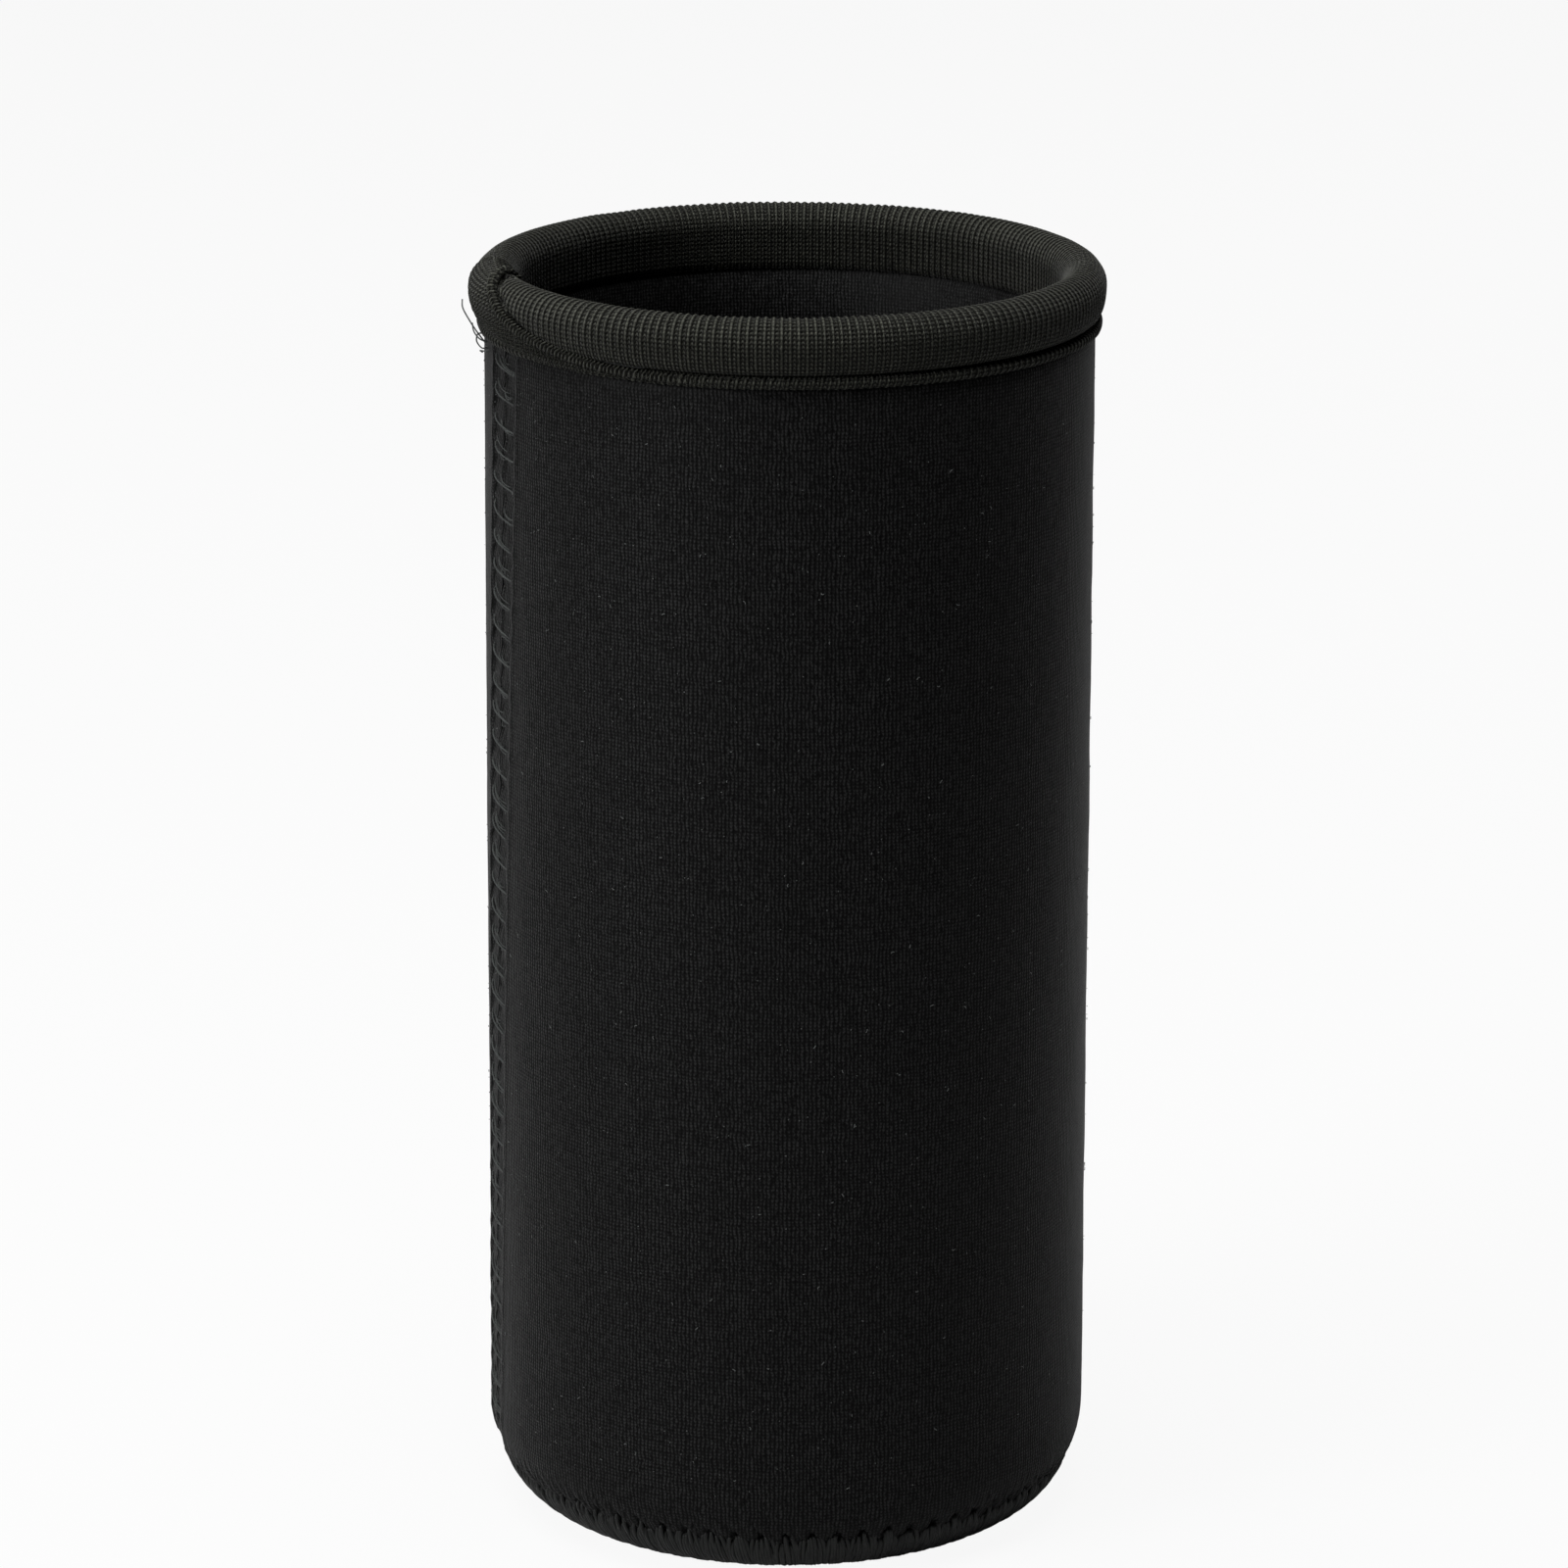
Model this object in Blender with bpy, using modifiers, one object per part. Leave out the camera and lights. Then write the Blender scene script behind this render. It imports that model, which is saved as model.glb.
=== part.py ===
"""Slim can cooler: a sleeve of knit-faced neoprene with a bound rim and a sewn-in base disc.

The sleeve stands on its base disc at z = 0, with the can's well open at +Z and the side seam near -X.
Angles round the sleeve are measured from -X towards -Y, which is the side that faces the viewer.
"""

import math

import bmesh
import bpy
from mathutils import Vector

MM = 0.001

# The neoprene sheet and the well that it makes
WELL_RADIUS = 28.6 * MM
WALL = 3.4 * MM
HEIGHT = 136.3 * MM
FLARE = 0.4 * MM
CLEARANCE = 0.3 * MM

# The foot, where the wall turns in to meet the base disc
FOOT_RISE = 10.0 * MM
FOOT_TURN_IN = 7.0 * MM
FOOT_BITE_HEIGHT = 6.0 * MM
FOOT_LIFT = 0.25 * MM
DISC_SEAM_MARGIN = 2.3 * MM
DISC_BEVEL = 0.8 * MM

# The knit tape that binds the rim
TAPE = 0.4 * MM
ROLL_PROUD = 1.0 * MM
ROLL_DEPTH = 5.2 * MM
LIP_HEIGHT = 1.7 * MM
LIP_PROUD = 0.6 * MM
HEM_SLACK = 0.15 * MM
INNER_LEG = 6.7 * MM
GROOVE_ANGLE = -58

# The tape's lapped end at the side seam
LAP_EDGE_AT_CREST = math.radians(16)
LAP_EDGE_AT_LIP = math.radians(58)
LAP_BACK = math.radians(-34)
LAP_PROUD = 1.0 * MM
LAP_CREST_RISE = 0.3 * MM
LAP_SKIRT = 5.2 * MM

# The side seam, where the sheet's two edges meet
SEAM_ANGLE = math.radians(18)
SEAM_TWIST = math.radians(12.5)
SEAM_SLIT = 0.3 * MM
SEAM_FOOT = 6.0 * MM

# Sewing threads, and how deep their stitches press into the neoprene
THREAD_RADIUS = 0.2 * MM
BINDING_THREAD_RADIUS = 0.15 * MM
STITCH_PRESS = 0.55 * MM
SIDE_STITCH_WIDTH = 4.6 * MM
SIDE_STITCH_PITCH = 2.7 * MM
SIDE_STITCH_SLANT = 1.4 * MM
FOOT_STRANDS = 128

# How round shapes are faceted
STEPS = 48
SEAM_ROWS = 9
LAP_ROWS = 12

# Radii and heights that follow from the sizes above
WALL_RADIUS = WELL_RADIUS + WALL
FOOT_RADIUS = WALL_RADIUS + FLARE
DISC_RADIUS = FOOT_RADIUS - FOOT_TURN_IN - CLEARANCE
FOOT_DROP = FOOT_RISE - FOOT_LIFT
ROLL_HALF_WIDTH = (WALL + ROLL_PROUD) / 2
ROLL_HALF_HEIGHT = ROLL_DEPTH / 2
ROLL_CENTRE = (WELL_RADIUS + ROLL_HALF_WIDTH, HEIGHT - ROLL_HALF_HEIGHT)
LIP_TOP = ROLL_CENTRE[1] - ROLL_HALF_HEIGHT
LIP_FOOT = LIP_TOP - LIP_HEIGHT
TAPE_MIDDLE = TAPE / 2
HEM_FOLD_RADIUS = (TAPE + HEM_SLACK) / 2
HEM_FOLD_HEIGHT = LIP_FOOT + TAPE_MIDDLE + HEM_FOLD_RADIUS
LIP_RADIUS = WALL_RADIUS + LIP_PROUD - TAPE_MIDDLE
INSIDE_TAPE = TAPE_MIDDLE + CLEARANCE
THREAD_LIFT = THREAD_RADIUS + CLEARANCE - STITCH_PRESS

BLACK_NEOPRENE = (0.012, 0.012, 0.013)
BLACK_TAPE = (0.016, 0.016, 0.015)
BLACK_THREAD = (0.024, 0.026, 0.026)


def wall_surface(z):
    """Radius of the wall's outside above the foot, where the sleeve narrows slightly upwards."""
    return FOOT_RADIUS - FLARE * (z - FOOT_RISE) / (LIP_FOOT - FOOT_RISE)


def foot_point(turn, lift=0.0):
    """A (radius, z) point on the foot's rounded outside, or lifted off it. The turn is 0 to 90 degrees."""
    across, down = math.cos(turn), math.sin(turn)
    normal = Vector((across / FOOT_TURN_IN, -down / FOOT_DROP)).normalized()
    point = Vector((FOOT_RADIUS - FOOT_TURN_IN * (1 - across), FOOT_RISE - FOOT_DROP * down))
    return tuple(point + lift * normal)


def roll_point(degrees, inset=0.0):
    """A (radius, z) point on the roll's outside, or inset from it. 0 degrees points away from the axis."""
    angle = math.radians(degrees)
    radius = ROLL_CENTRE[0] + (ROLL_HALF_WIDTH - inset) * math.cos(angle)
    return radius, ROLL_CENTRE[1] + (ROLL_HALF_HEIGHT - inset) * math.sin(angle)


def at_angle(radius, angle, z):
    """A point round the sleeve, its angle from -X towards -Y."""
    return Vector((-radius * math.cos(angle), -radius * math.sin(angle), z))


def seam_angle(z):
    """The side seam's angle at a height. The sheet is sewn with a slight twist."""
    middle = (SEAM_FOOT + LIP_FOOT) / 2
    return SEAM_ANGLE + SEAM_TWIST * (z - middle) / (LIP_FOOT - SEAM_FOOT)


def spread(start, end, count):
    """Evenly spaced values, both ends included."""
    return [start + (end - start) * i / (count - 1) for i in range(count)]


def clear_scene():
    for obj in list(bpy.data.objects):
        bpy.data.objects.remove(obj)


def make_collection(name, shown=True):
    collection = bpy.data.collections.new(name)
    collection.hide_render = not shown
    bpy.context.scene.collection.children.link(collection)
    return collection


def make_material(name, colour, roughness):
    material = bpy.data.materials.new(name)
    material.use_nodes = True
    shader = material.node_tree.nodes["Principled BSDF"]
    shader.inputs["Base Color"].default_value = (*colour, 1)
    shader.inputs["Roughness"].default_value = roughness
    shader.inputs["Metallic"].default_value = 0.0
    return material


def add_object(name, data, collection, material=None):
    obj = bpy.data.objects.new(name, data)
    collection.objects.link(obj)
    if material:
        data.materials.append(material)
    return obj


def add_cutter(name, bm, collection):
    """Turn a bmesh into a wire-only object that Booleans use."""
    bmesh.ops.recalc_face_normals(bm, faces=bm.faces)
    mesh = bpy.data.meshes.new(name)
    bm.to_mesh(mesh)
    bm.free()
    obj = add_object(name, mesh, collection)
    obj.hide_render = True
    obj.display_type = "WIRE"
    return obj


def add_boolean(obj, other, operation):
    modifier = obj.modifiers.new(other.name, "BOOLEAN")
    modifier.operation = operation
    modifier.object = other
    modifier.solver = "EXACT"


def add_turned(name, outline, collection, material, closed=False):
    """A turned shape: an outline in the (radius, z) plane with a Screw modifier about Z."""
    mesh = bpy.data.meshes.new(name)
    edges = [(i, i + 1) for i in range(len(outline) - 1)]
    if closed:
        edges.append((len(outline) - 1, 0))
    mesh.from_pydata([(radius, 0, z) for radius, z in outline], edges, [])
    obj = add_object(name, mesh, collection, material)
    screw = obj.modifiers.new("turn", "SCREW")
    screw.axis = "Z"
    screw.angle = math.tau
    screw.steps = STEPS
    screw.render_steps = STEPS
    screw.use_smooth_shade = True
    screw.use_merge_vertices = True
    screw.merge_threshold = 0.00001
    return obj


def wall_outline():
    """The wall's section, down its outside and up its inside. Its squeezed top fills the tape."""
    bite = math.asin((FOOT_RISE - FOOT_BITE_HEIGHT) / FOOT_DROP)
    quarter = math.radians(90)
    shoulder = LIP_FOOT - CLEARANCE
    hem_face = LIP_RADIUS - 2 * HEM_FOLD_RADIUS - INSIDE_TAPE
    neck = roll_point(GROOVE_ANGLE, TAPE_MIDDLE)
    leg_face = WELL_RADIUS + TAPE + CLEARANCE
    leg_shelf = HEIGHT - INNER_LEG - CLEARANCE
    foot_edge = DISC_RADIUS + CLEARANCE

    squeezed = [roll_point(a, TAPE + CLEARANCE) for a in (90, 45, 0, -30)]
    squeezed.append((neck[0] - 1.3 * INSIDE_TAPE, neck[1]))
    squeezed += [(hem_face, LIP_TOP - CLEARANCE), (hem_face, shoulder)]
    outside = [(wall_surface(shoulder - CLEARANCE), shoulder - CLEARANCE), (FOOT_RADIUS, FOOT_RISE)]
    outside += [foot_point(bite * share) for share in (0.35, 0.7, 1)]
    for share in (0.08, 0.35, 0.6, 0.8):
        outside.append(foot_point(bite + (quarter - bite) * share, -STITCH_PRESS))
    outside.append((foot_edge, FOOT_LIFT + STITCH_PRESS))
    turn_in = WELL_RADIUS + FLARE - foot_edge
    inside = []
    for turn in spread(0, quarter, 5):
        height = WALL + (FOOT_RISE - WALL) * (1 - math.cos(turn))
        inside.append((foot_edge + turn_in * math.sin(turn), height))
    inside += [(WELL_RADIUS, leg_shelf - CLEARANCE), (leg_face, leg_shelf)]
    inside += [roll_point(a, TAPE + CLEARANCE) for a in (180, 135)]
    return squeezed + outside + inside


def make_seam_cutter(name, width, rows, cutters):
    """A strip that follows the side seam. Each row is a height, an inner radius and an outer radius."""
    half = width / WALL_RADIUS / 2
    bm = bmesh.new()
    rings = []
    for z, inner, outer in rows:
        corners = ((inner, -half), (outer, -half), (outer, half), (inner, half))
        rings.append([bm.verts.new(at_angle(r, seam_angle(z) + turn, z)) for r, turn in corners])
    for high, low in zip(rings, rings[1:]):
        for i in range(4):
            bm.faces.new((high[i], high[i - 1], low[i - 1], low[i]))
    bm.faces.new(rings[0])
    bm.faces.new(rings[-1])
    return add_cutter(name, bm, cutters)


def make_wall_panel(parts, cutters, material):
    """The neoprene sheet, rolled to a tube with its edges butted and its foot turned in."""
    wall = add_turned("wall_panel", wall_outline(), parts, material, closed=True)
    beyond = 2 * WALL
    slit_heights = spread(HEIGHT + beyond, -beyond, SEAM_ROWS)
    slit_rows = [(z, WELL_RADIUS - FOOT_TURN_IN, WALL_RADIUS + beyond) for z in slit_heights]
    slit = make_seam_cutter("side_seam_slit", SEAM_SLIT, slit_rows, cutters)
    channel_heights = spread(LIP_FOOT - CLEARANCE, SEAM_FOOT, SEAM_ROWS)
    channel_rows = [(z, wall_surface(z) - STITCH_PRESS, wall_surface(z) + beyond) for z in channel_heights]
    channel_width = SIDE_STITCH_WIDTH + 2 * (THREAD_RADIUS + CLEARANCE)
    channel = make_seam_cutter("side_seam_channel", channel_width, channel_rows, cutters)
    add_boolean(wall, slit, "DIFFERENCE")
    add_boolean(wall, channel, "DIFFERENCE")


def make_base_disc(parts, material):
    """The round neoprene base. Its edge is pressed up underneath, where the foot's stitches cross it."""
    pressed = FOOT_LIFT + STITCH_PRESS
    seat = DISC_RADIUS - DISC_SEAM_MARGIN
    outline = [(0, WALL), (DISC_RADIUS, WALL), (DISC_RADIUS, pressed), (seat, pressed)]
    outline += [(seat - DISC_BEVEL, 0), (0, 0)]
    add_turned("base_disc", outline, parts, material)


def tape_line():
    """The middle line of the tape's section: tucked hem, lip, groove, roll and inner leg."""
    fold_centre = LIP_RADIUS - HEM_FOLD_RADIUS
    line = [(fold_centre - HEM_FOLD_RADIUS, LIP_TOP - 2 * CLEARANCE)]
    for turn in spread(math.pi, math.tau, 4):
        height = HEM_FOLD_HEIGHT + HEM_FOLD_RADIUS * math.sin(turn)
        line.append((fold_centre + HEM_FOLD_RADIUS * math.cos(turn), height))
    line.append((LIP_RADIUS, LIP_TOP - TAPE_MIDDLE))
    line += [roll_point(a, TAPE_MIDDLE) for a in (GROOVE_ANGLE, -30, 0, 30, 60, 90, 120, 150, 180)]
    line.append((WELL_RADIUS + TAPE_MIDDLE, HEIGHT - INNER_LEG))
    return line


def make_lap(cutters):
    """The tape's lapped end, a loft from its slanting free edge back to where it meets the tape."""
    under = [roll_point(a, TAPE_MIDDLE) for a in (130, 90, 60, 30, 0, -30, GROOVE_ANGLE)]
    under += [(LIP_RADIUS, LIP_TOP - TAPE_MIDDLE), (LIP_RADIUS, HEM_FOLD_HEIGHT)]
    over = [roll_point(130, 0)]
    for degrees in (90, 60, 30, 0, -12, -25, -37, -50):
        depth = ROLL_HALF_HEIGHT + LAP_CREST_RISE if degrees > 0 else LAP_SKIRT
        radius = ROLL_CENTRE[0] + (ROLL_HALF_WIDTH + LAP_PROUD) * math.cos(math.radians(degrees))
        over.append((radius, ROLL_CENTRE[1] + depth * math.sin(math.radians(degrees))))

    bm = bmesh.new()
    outer, inner = [], []
    for row in range(LAP_ROWS):
        back = row / (LAP_ROWS - 1)
        full = math.sin(math.radians(90) * min(1.0, 0.55 + 2.5 * back)) * (1 - back**3)
        outer_row, inner_row = [], []
        for i, (low, high) in enumerate(zip(under, over)):
            along = i / (len(under) - 1)
            edge = LAP_EDGE_AT_CREST + (LAP_EDGE_AT_LIP - LAP_EDGE_AT_CREST) * along
            angle = edge + (LAP_BACK - edge) * back
            raised = Vector(low).lerp(Vector(high), full)
            inner_row.append(bm.verts.new(at_angle(low[0], angle, low[1])))
            outer_row.append(bm.verts.new(at_angle(raised[0], angle, raised[1])))
        outer.append(outer_row)
        inner.append(inner_row)
    columns = range(len(under) - 1)
    for grid in (outer, inner):
        for near, far in zip(grid, grid[1:]):
            for i in columns:
                bm.faces.new((near[i], near[i + 1], far[i + 1], far[i]))
    for i in columns:
        bm.faces.new((outer[0][i], outer[0][i + 1], inner[0][i + 1], inner[0][i]))
    for row in range(LAP_ROWS - 1):
        for side in (0, -1):
            bm.faces.new((outer[row][side], outer[row + 1][side], inner[row + 1][side], inner[row][side]))
    bmesh.ops.remove_doubles(bm, verts=bm.verts, dist=0.000001)
    return add_cutter("tape_lap", bm, cutters)


def make_rim_binding(parts, cutters, material):
    """The knit tape folded over the rim, its hem tucked under and its end lapped at the side seam."""
    binding = add_turned("rim_binding", tape_line(), parts, material)
    thickness = binding.modifiers.new("tape", "SOLIDIFY")
    thickness.thickness = TAPE
    thickness.offset = 0
    thickness.use_even_offset = True
    add_boolean(binding, make_lap(cutters), "UNION")


def make_thread(name, points, radius, parts, material, cyclic=False):
    """A sewing thread: a poly curve through its points, with a round bevel and filled caps."""
    curve = bpy.data.curves.new(name, "CURVE")
    curve.dimensions = "3D"
    curve.bevel_depth = radius
    curve.bevel_resolution = 0
    curve.use_fill_caps = True
    spline = curve.splines.new("POLY")
    spline.points.add(len(points) - 1)
    for spot, point in zip(spline.points, points):
        spot.co = (*point, 1)
    spline.use_cyclic_u = cyclic
    add_object(name, curve, parts, material)


def make_side_seam_thread(parts, material):
    """The zigzag that holds the sheet's edges together, lying in the seam's channel."""
    end_gap = THREAD_RADIUS + 2 * CLEARANCE
    top = LIP_FOOT - CLEARANCE - end_gap
    foot = FOOT_RISE + end_gap
    stitches = int((top - foot) / SIDE_STITCH_PITCH)
    half = SIDE_STITCH_WIDTH / 2
    middle_return = (SIDE_STITCH_PITCH + SIDE_STITCH_SLANT) / 2
    points = []
    for i in range(stitches):
        strand = ((-half, 0), (0, SIDE_STITCH_SLANT / 2), (half, SIDE_STITCH_SLANT), (0, middle_return))
        for across, drop in strand:
            z = top - i * SIDE_STITCH_PITCH - drop
            angle = seam_angle(z) + across / WALL_RADIUS
            points.append(at_angle(wall_surface(z) + THREAD_LIFT, angle, z))
    make_thread("side_seam_thread", points, THREAD_RADIUS, parts, material)


def make_foot_seam_thread(parts, material):
    """The overcast stitches round the foot, from the wall over its edge to the disc's underside."""
    bite = math.asin((FOOT_RISE - FOOT_BITE_HEIGHT + 2 * THREAD_RADIUS + CLEARANCE) / FOOT_DROP)
    quarter = math.radians(90)
    strand = [foot_point(bite + (quarter - bite) * share, THREAD_LIFT) for share in (0, 0.45, 0.85)]
    strand.append((DISC_RADIUS - DISC_SEAM_MARGIN + 2 * THREAD_RADIUS + CLEARANCE, FOOT_LIFT - THREAD_LIFT))
    points = []
    for k in range(FOOT_STRANDS):
        angle = math.tau * k / FOOT_STRANDS
        points += [at_angle(r, angle, z) for r, z in (strand if k % 2 else reversed(strand))]
    make_thread("foot_seam_thread", points, THREAD_RADIUS, parts, material, cyclic=True)


def make_binding_thread(parts, material):
    """The stitching that holds the tape, lying in the groove between the roll and the lip."""
    groove = roll_point(GROOVE_ANGLE, TAPE_MIDDLE)
    radius = groove[0] + TAPE_MIDDLE + CLEARANCE + 1.5 * BINDING_THREAD_RADIUS
    start = LAP_EDGE_AT_LIP
    end = math.tau + LAP_BACK - math.radians(6)
    points = [at_angle(radius, angle, groove[1]) for angle in spread(start, end, STEPS)]
    make_thread("binding_thread", points, BINDING_THREAD_RADIUS, parts, material)


def main():
    clear_scene()
    parts = make_collection("can_cooler")
    cutters = make_collection("can_cooler_cutters", shown=False)
    neoprene = make_material("black_neoprene", BLACK_NEOPRENE, 0.9)
    tape = make_material("black_knit_tape", BLACK_TAPE, 0.85)
    thread = make_material("black_thread", BLACK_THREAD, 0.6)
    make_wall_panel(parts, cutters, neoprene)
    make_base_disc(parts, neoprene)
    make_rim_binding(parts, cutters, tape)
    make_side_seam_thread(parts, thread)
    make_foot_seam_thread(parts, thread)
    make_binding_thread(parts, thread)


main()
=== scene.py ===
"""A slim can cooler as it looks: knit-faced neoprene, a ribbed tape round its rim, and its stitching.

Lengths are metres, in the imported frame: the sleeve stands at z = 0 and its axis is Z.
Angles round the sleeve are measured from -X towards -Y, which is the side that faces the camera.
"""

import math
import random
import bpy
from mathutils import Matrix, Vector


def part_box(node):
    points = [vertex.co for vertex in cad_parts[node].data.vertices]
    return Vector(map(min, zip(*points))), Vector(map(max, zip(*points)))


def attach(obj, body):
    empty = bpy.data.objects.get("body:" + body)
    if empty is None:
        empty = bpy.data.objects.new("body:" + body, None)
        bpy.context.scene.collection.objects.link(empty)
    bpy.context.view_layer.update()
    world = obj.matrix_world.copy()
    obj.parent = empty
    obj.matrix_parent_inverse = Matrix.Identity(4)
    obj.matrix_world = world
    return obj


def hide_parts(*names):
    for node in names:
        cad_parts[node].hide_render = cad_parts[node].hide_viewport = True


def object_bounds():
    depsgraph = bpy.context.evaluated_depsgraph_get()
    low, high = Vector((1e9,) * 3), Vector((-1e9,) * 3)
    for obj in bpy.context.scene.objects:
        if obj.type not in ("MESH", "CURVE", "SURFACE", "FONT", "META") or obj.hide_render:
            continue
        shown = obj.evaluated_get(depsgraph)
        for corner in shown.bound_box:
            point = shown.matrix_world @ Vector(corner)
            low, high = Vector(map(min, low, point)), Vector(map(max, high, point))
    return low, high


bl_info = {
    "name": "Slim Can Cooler",
    "version": (1, 0, 0),
    "blender": (4, 5, 0),
    "location": "View3D > Sidebar > Can Cooler",
    "description": "Dresses the packed can cooler with knit neoprene, ribbed tape and thread",
    "category": "Add Mesh",
}

import bmesh
import bpy
from mathutils import Matrix, Vector, noise

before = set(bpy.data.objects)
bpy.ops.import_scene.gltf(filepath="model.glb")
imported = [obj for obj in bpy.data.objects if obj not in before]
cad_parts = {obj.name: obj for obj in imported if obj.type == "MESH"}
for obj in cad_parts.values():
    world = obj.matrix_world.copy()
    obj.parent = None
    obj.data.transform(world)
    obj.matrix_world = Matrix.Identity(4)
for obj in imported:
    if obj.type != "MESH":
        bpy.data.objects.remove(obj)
CAD_BOX = [list(corner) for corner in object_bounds()]

MM = 0.001
MERGE = 0.001 * MM
SECTORS = 20
QUARTER = math.radians(90)
WALL_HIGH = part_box("wall_panel")[1]
DISC_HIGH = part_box("base_disc")[1]
TAPE_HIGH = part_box("rim_binding")[1]
FOOT_THREAD_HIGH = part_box("foot_seam_thread")[1]
LAP_CREST_RISE = 0.3 * MM
GROOVE_RADIUS = 31.75 * MM
EDGE_RING_STEP = 0.1 * MM


def length_prop(name, description, default):
    return bpy.props.FloatProperty(name=name, description=description, default=default, unit="LENGTH")


def angle_prop(name, description, degrees):
    default = math.radians(degrees)
    return bpy.props.FloatProperty(name=name, description=description, default=default, subtype="ANGLE")


def colour_prop(name, description, default):
    return bpy.props.FloatVectorProperty(
        name=name, description=description, default=default, size=3, subtype="COLOR"
    )


def count_prop(name, description, default):
    return bpy.props.IntProperty(name=name, description=description, default=default, min=3)


def strength_prop(name, description, default):
    return bpy.props.FloatProperty(name=name, description=description, default=default, min=0)


class SleeveSizes(bpy.types.PropertyGroup):
    """Sizes of the neoprene sleeve and its seams."""

    well_radius: length_prop("Well Radius", "Radius of the well that holds the can", 28.6 * MM)
    foot_radius: length_prop("Foot Radius", "Outside radius just above the rounded foot", WALL_HIGH[0])
    flare: length_prop("Flare", "How much wider the wall is at the foot than at the tape", 0.4 * MM)
    foot_rise: length_prop("Foot Rise", "Height at which the foot starts to round in", 10.0 * MM)
    foot_lift: length_prop("Foot Lift", "Height of the foot's lowest cloth above the table", 0.3 * MM)
    bite_height: length_prop(
        "Bite Height", "Height at which the foot's stitches enter the wall", FOOT_THREAD_HIGH[2],
    )
    stitch_press: length_prop("Stitch Press", "How deep the stitches press into the cloth", 0.25 * MM)
    seam_angle: angle_prop("Seam Angle", "The side seam's place at half height", 17)
    seam_twist: angle_prop("Seam Twist", "How far the side seam leans round from foot to tape", 12.5)
    seam_half_width: length_prop("Seam Half Width", "Half the width of the side seam's stitches", 2.9 * MM)
    stitch_pitch: length_prop("Stitch Pitch", "Distance between the side seam's stitches", 3.15 * MM)
    stitch_slant: length_prop(
        "Stitch Slant", "Drop of a side stitch from its left end to its right end", 1.6 * MM,
    )
    foot_stitches: count_prop("Foot Stitches", "Overcast stitches round the foot", 72)
    wales: count_prop("Wales", "Columns of knit loops round the neoprene's face", 470)


class TapeSizes(bpy.types.PropertyGroup):
    """Sizes of the knit tape that binds the rim, and of its lapped end."""

    rim_height: length_prop("Rim Height", "Height of the roll's crest", TAPE_HIGH[2] - LAP_CREST_RISE)
    roll_half_width: length_prop("Roll Half Width", "Half the roll's width across the wall", 2.2 * MM)
    roll_half_height: length_prop("Roll Half Height", "Half the roll's height", 2.6 * MM)
    lip_height: length_prop("Lip Height", "Height of the tape's lip below the groove", 1.7 * MM)
    lip_radius: length_prop("Lip Radius", "Outermost radius of the lip", 32.6 * MM)
    ribs: count_prop("Ribs", "Knit ribs round the tape", 240)
    rib_depth: length_prop("Rib Depth", "Height of a rib above the valleys beside it", 0.17 * MM)
    lap_back: angle_prop("Lap Back", "Where the lapped end has sunk into the tape", -34)
    lap_proud: length_prop("Lap Proud", "How far the lapped end stands out from the roll", 1.0 * MM)
    bead_length: length_prop("Bead Length", "Length of two teeth on the rolled free edge", 1.0 * MM)
    fold_radius: length_prop("Fold Radius", "Radius of the lapped end's folded edge", 0.54 * MM)


class ClothColours(bpy.types.PropertyGroup):
    """Colours of the cloths and threads, as linear values."""

    # The knit face runs from neoprene on its raised loops to neoprene_shade, which is painted shade in the
    # hollows between its loops.
    neoprene: colour_prop("Neoprene", "The knit face's raised loops", (0.0215, 0.0218, 0.0218))
    neoprene_shade: colour_prop(
        "Neoprene Shade", "The hollows between the knit face's loops", (0.0004, 0.0004, 0.0004),
    )
    # The tape runs from tape_shade, which is painted shade in the valleys between its ribs, to tape on its
    # ribs, and it is painted lighter on the roll's top. The foot thread's darker fibres use tape_shade too.
    tape: colour_prop("Tape", "The tape's ribs", (0.088, 0.0905, 0.0750))
    tape_shade: colour_prop("Tape Shade", "The valleys between the tape's ribs", (0.0034, 0.0034, 0.0028))
    thread: colour_prop("Thread", "The sewing threads", (0.078, 0.086, 0.082))
    thread_shade: colour_prop(
        "Thread Shade", "The darker fibres of the sewing threads", (0.008, 0.0095, 0.009),
    )
    foot_thread: colour_prop(
        "Foot Thread", "The flat woolly thread round the foot", (0.0048, 0.0062, 0.0056),
    )
    lint: colour_prop("Lint", "Stray fibres that cling to the cloth", (0.16, 0.165, 0.165))
    floor: colour_prop("Floor", "The floor under the sleeve", (0.6, 0.6, 0.6))


class StageView(bpy.types.PropertyGroup):
    """Where the camera stands, and how strong the studio lights are."""

    back: length_prop("Back", "Distance from the sleeve's axis to the camera along -Y", 643 * MM)
    aside: length_prop("Aside", "The camera's place along X", -0.46 * MM)
    up: length_prop("Up", "The camera's height above the table", 265 * MM)
    pitch: angle_prop("Pitch", "How far the camera looks down", 16.12)
    roll: angle_prop("Roll", "How far the camera leans to its left", 0.155)
    lens: bpy.props.FloatProperty(
        name="Lens", description="Focal length in millimetres on a 36 mm sensor",
        default=143.64, min=1,
    )
    world: strength_prop("World", "Strength of the even light from all round", 0.01)
    key: strength_prop("Key", "Power of the lamp at the front left, in watts", 7.0)
    left: strength_prop("Left", "Power of the lamp behind on the left, in watts", 1.2)
    right: strength_prop("Right", "Power of the lamp behind on the right, in watts", 0.8)
    top: strength_prop("Top", "Power of the lamp overhead, in watts", 8.2)


def maths(operation, swapped=False):
    """A Signal method that adds a Math node, with the signal as its last value if swapped."""

    def method(self, *others):
        return self.shader.math(operation, *((*others, self) if swapped else (self, *others)))

    return method


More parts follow.
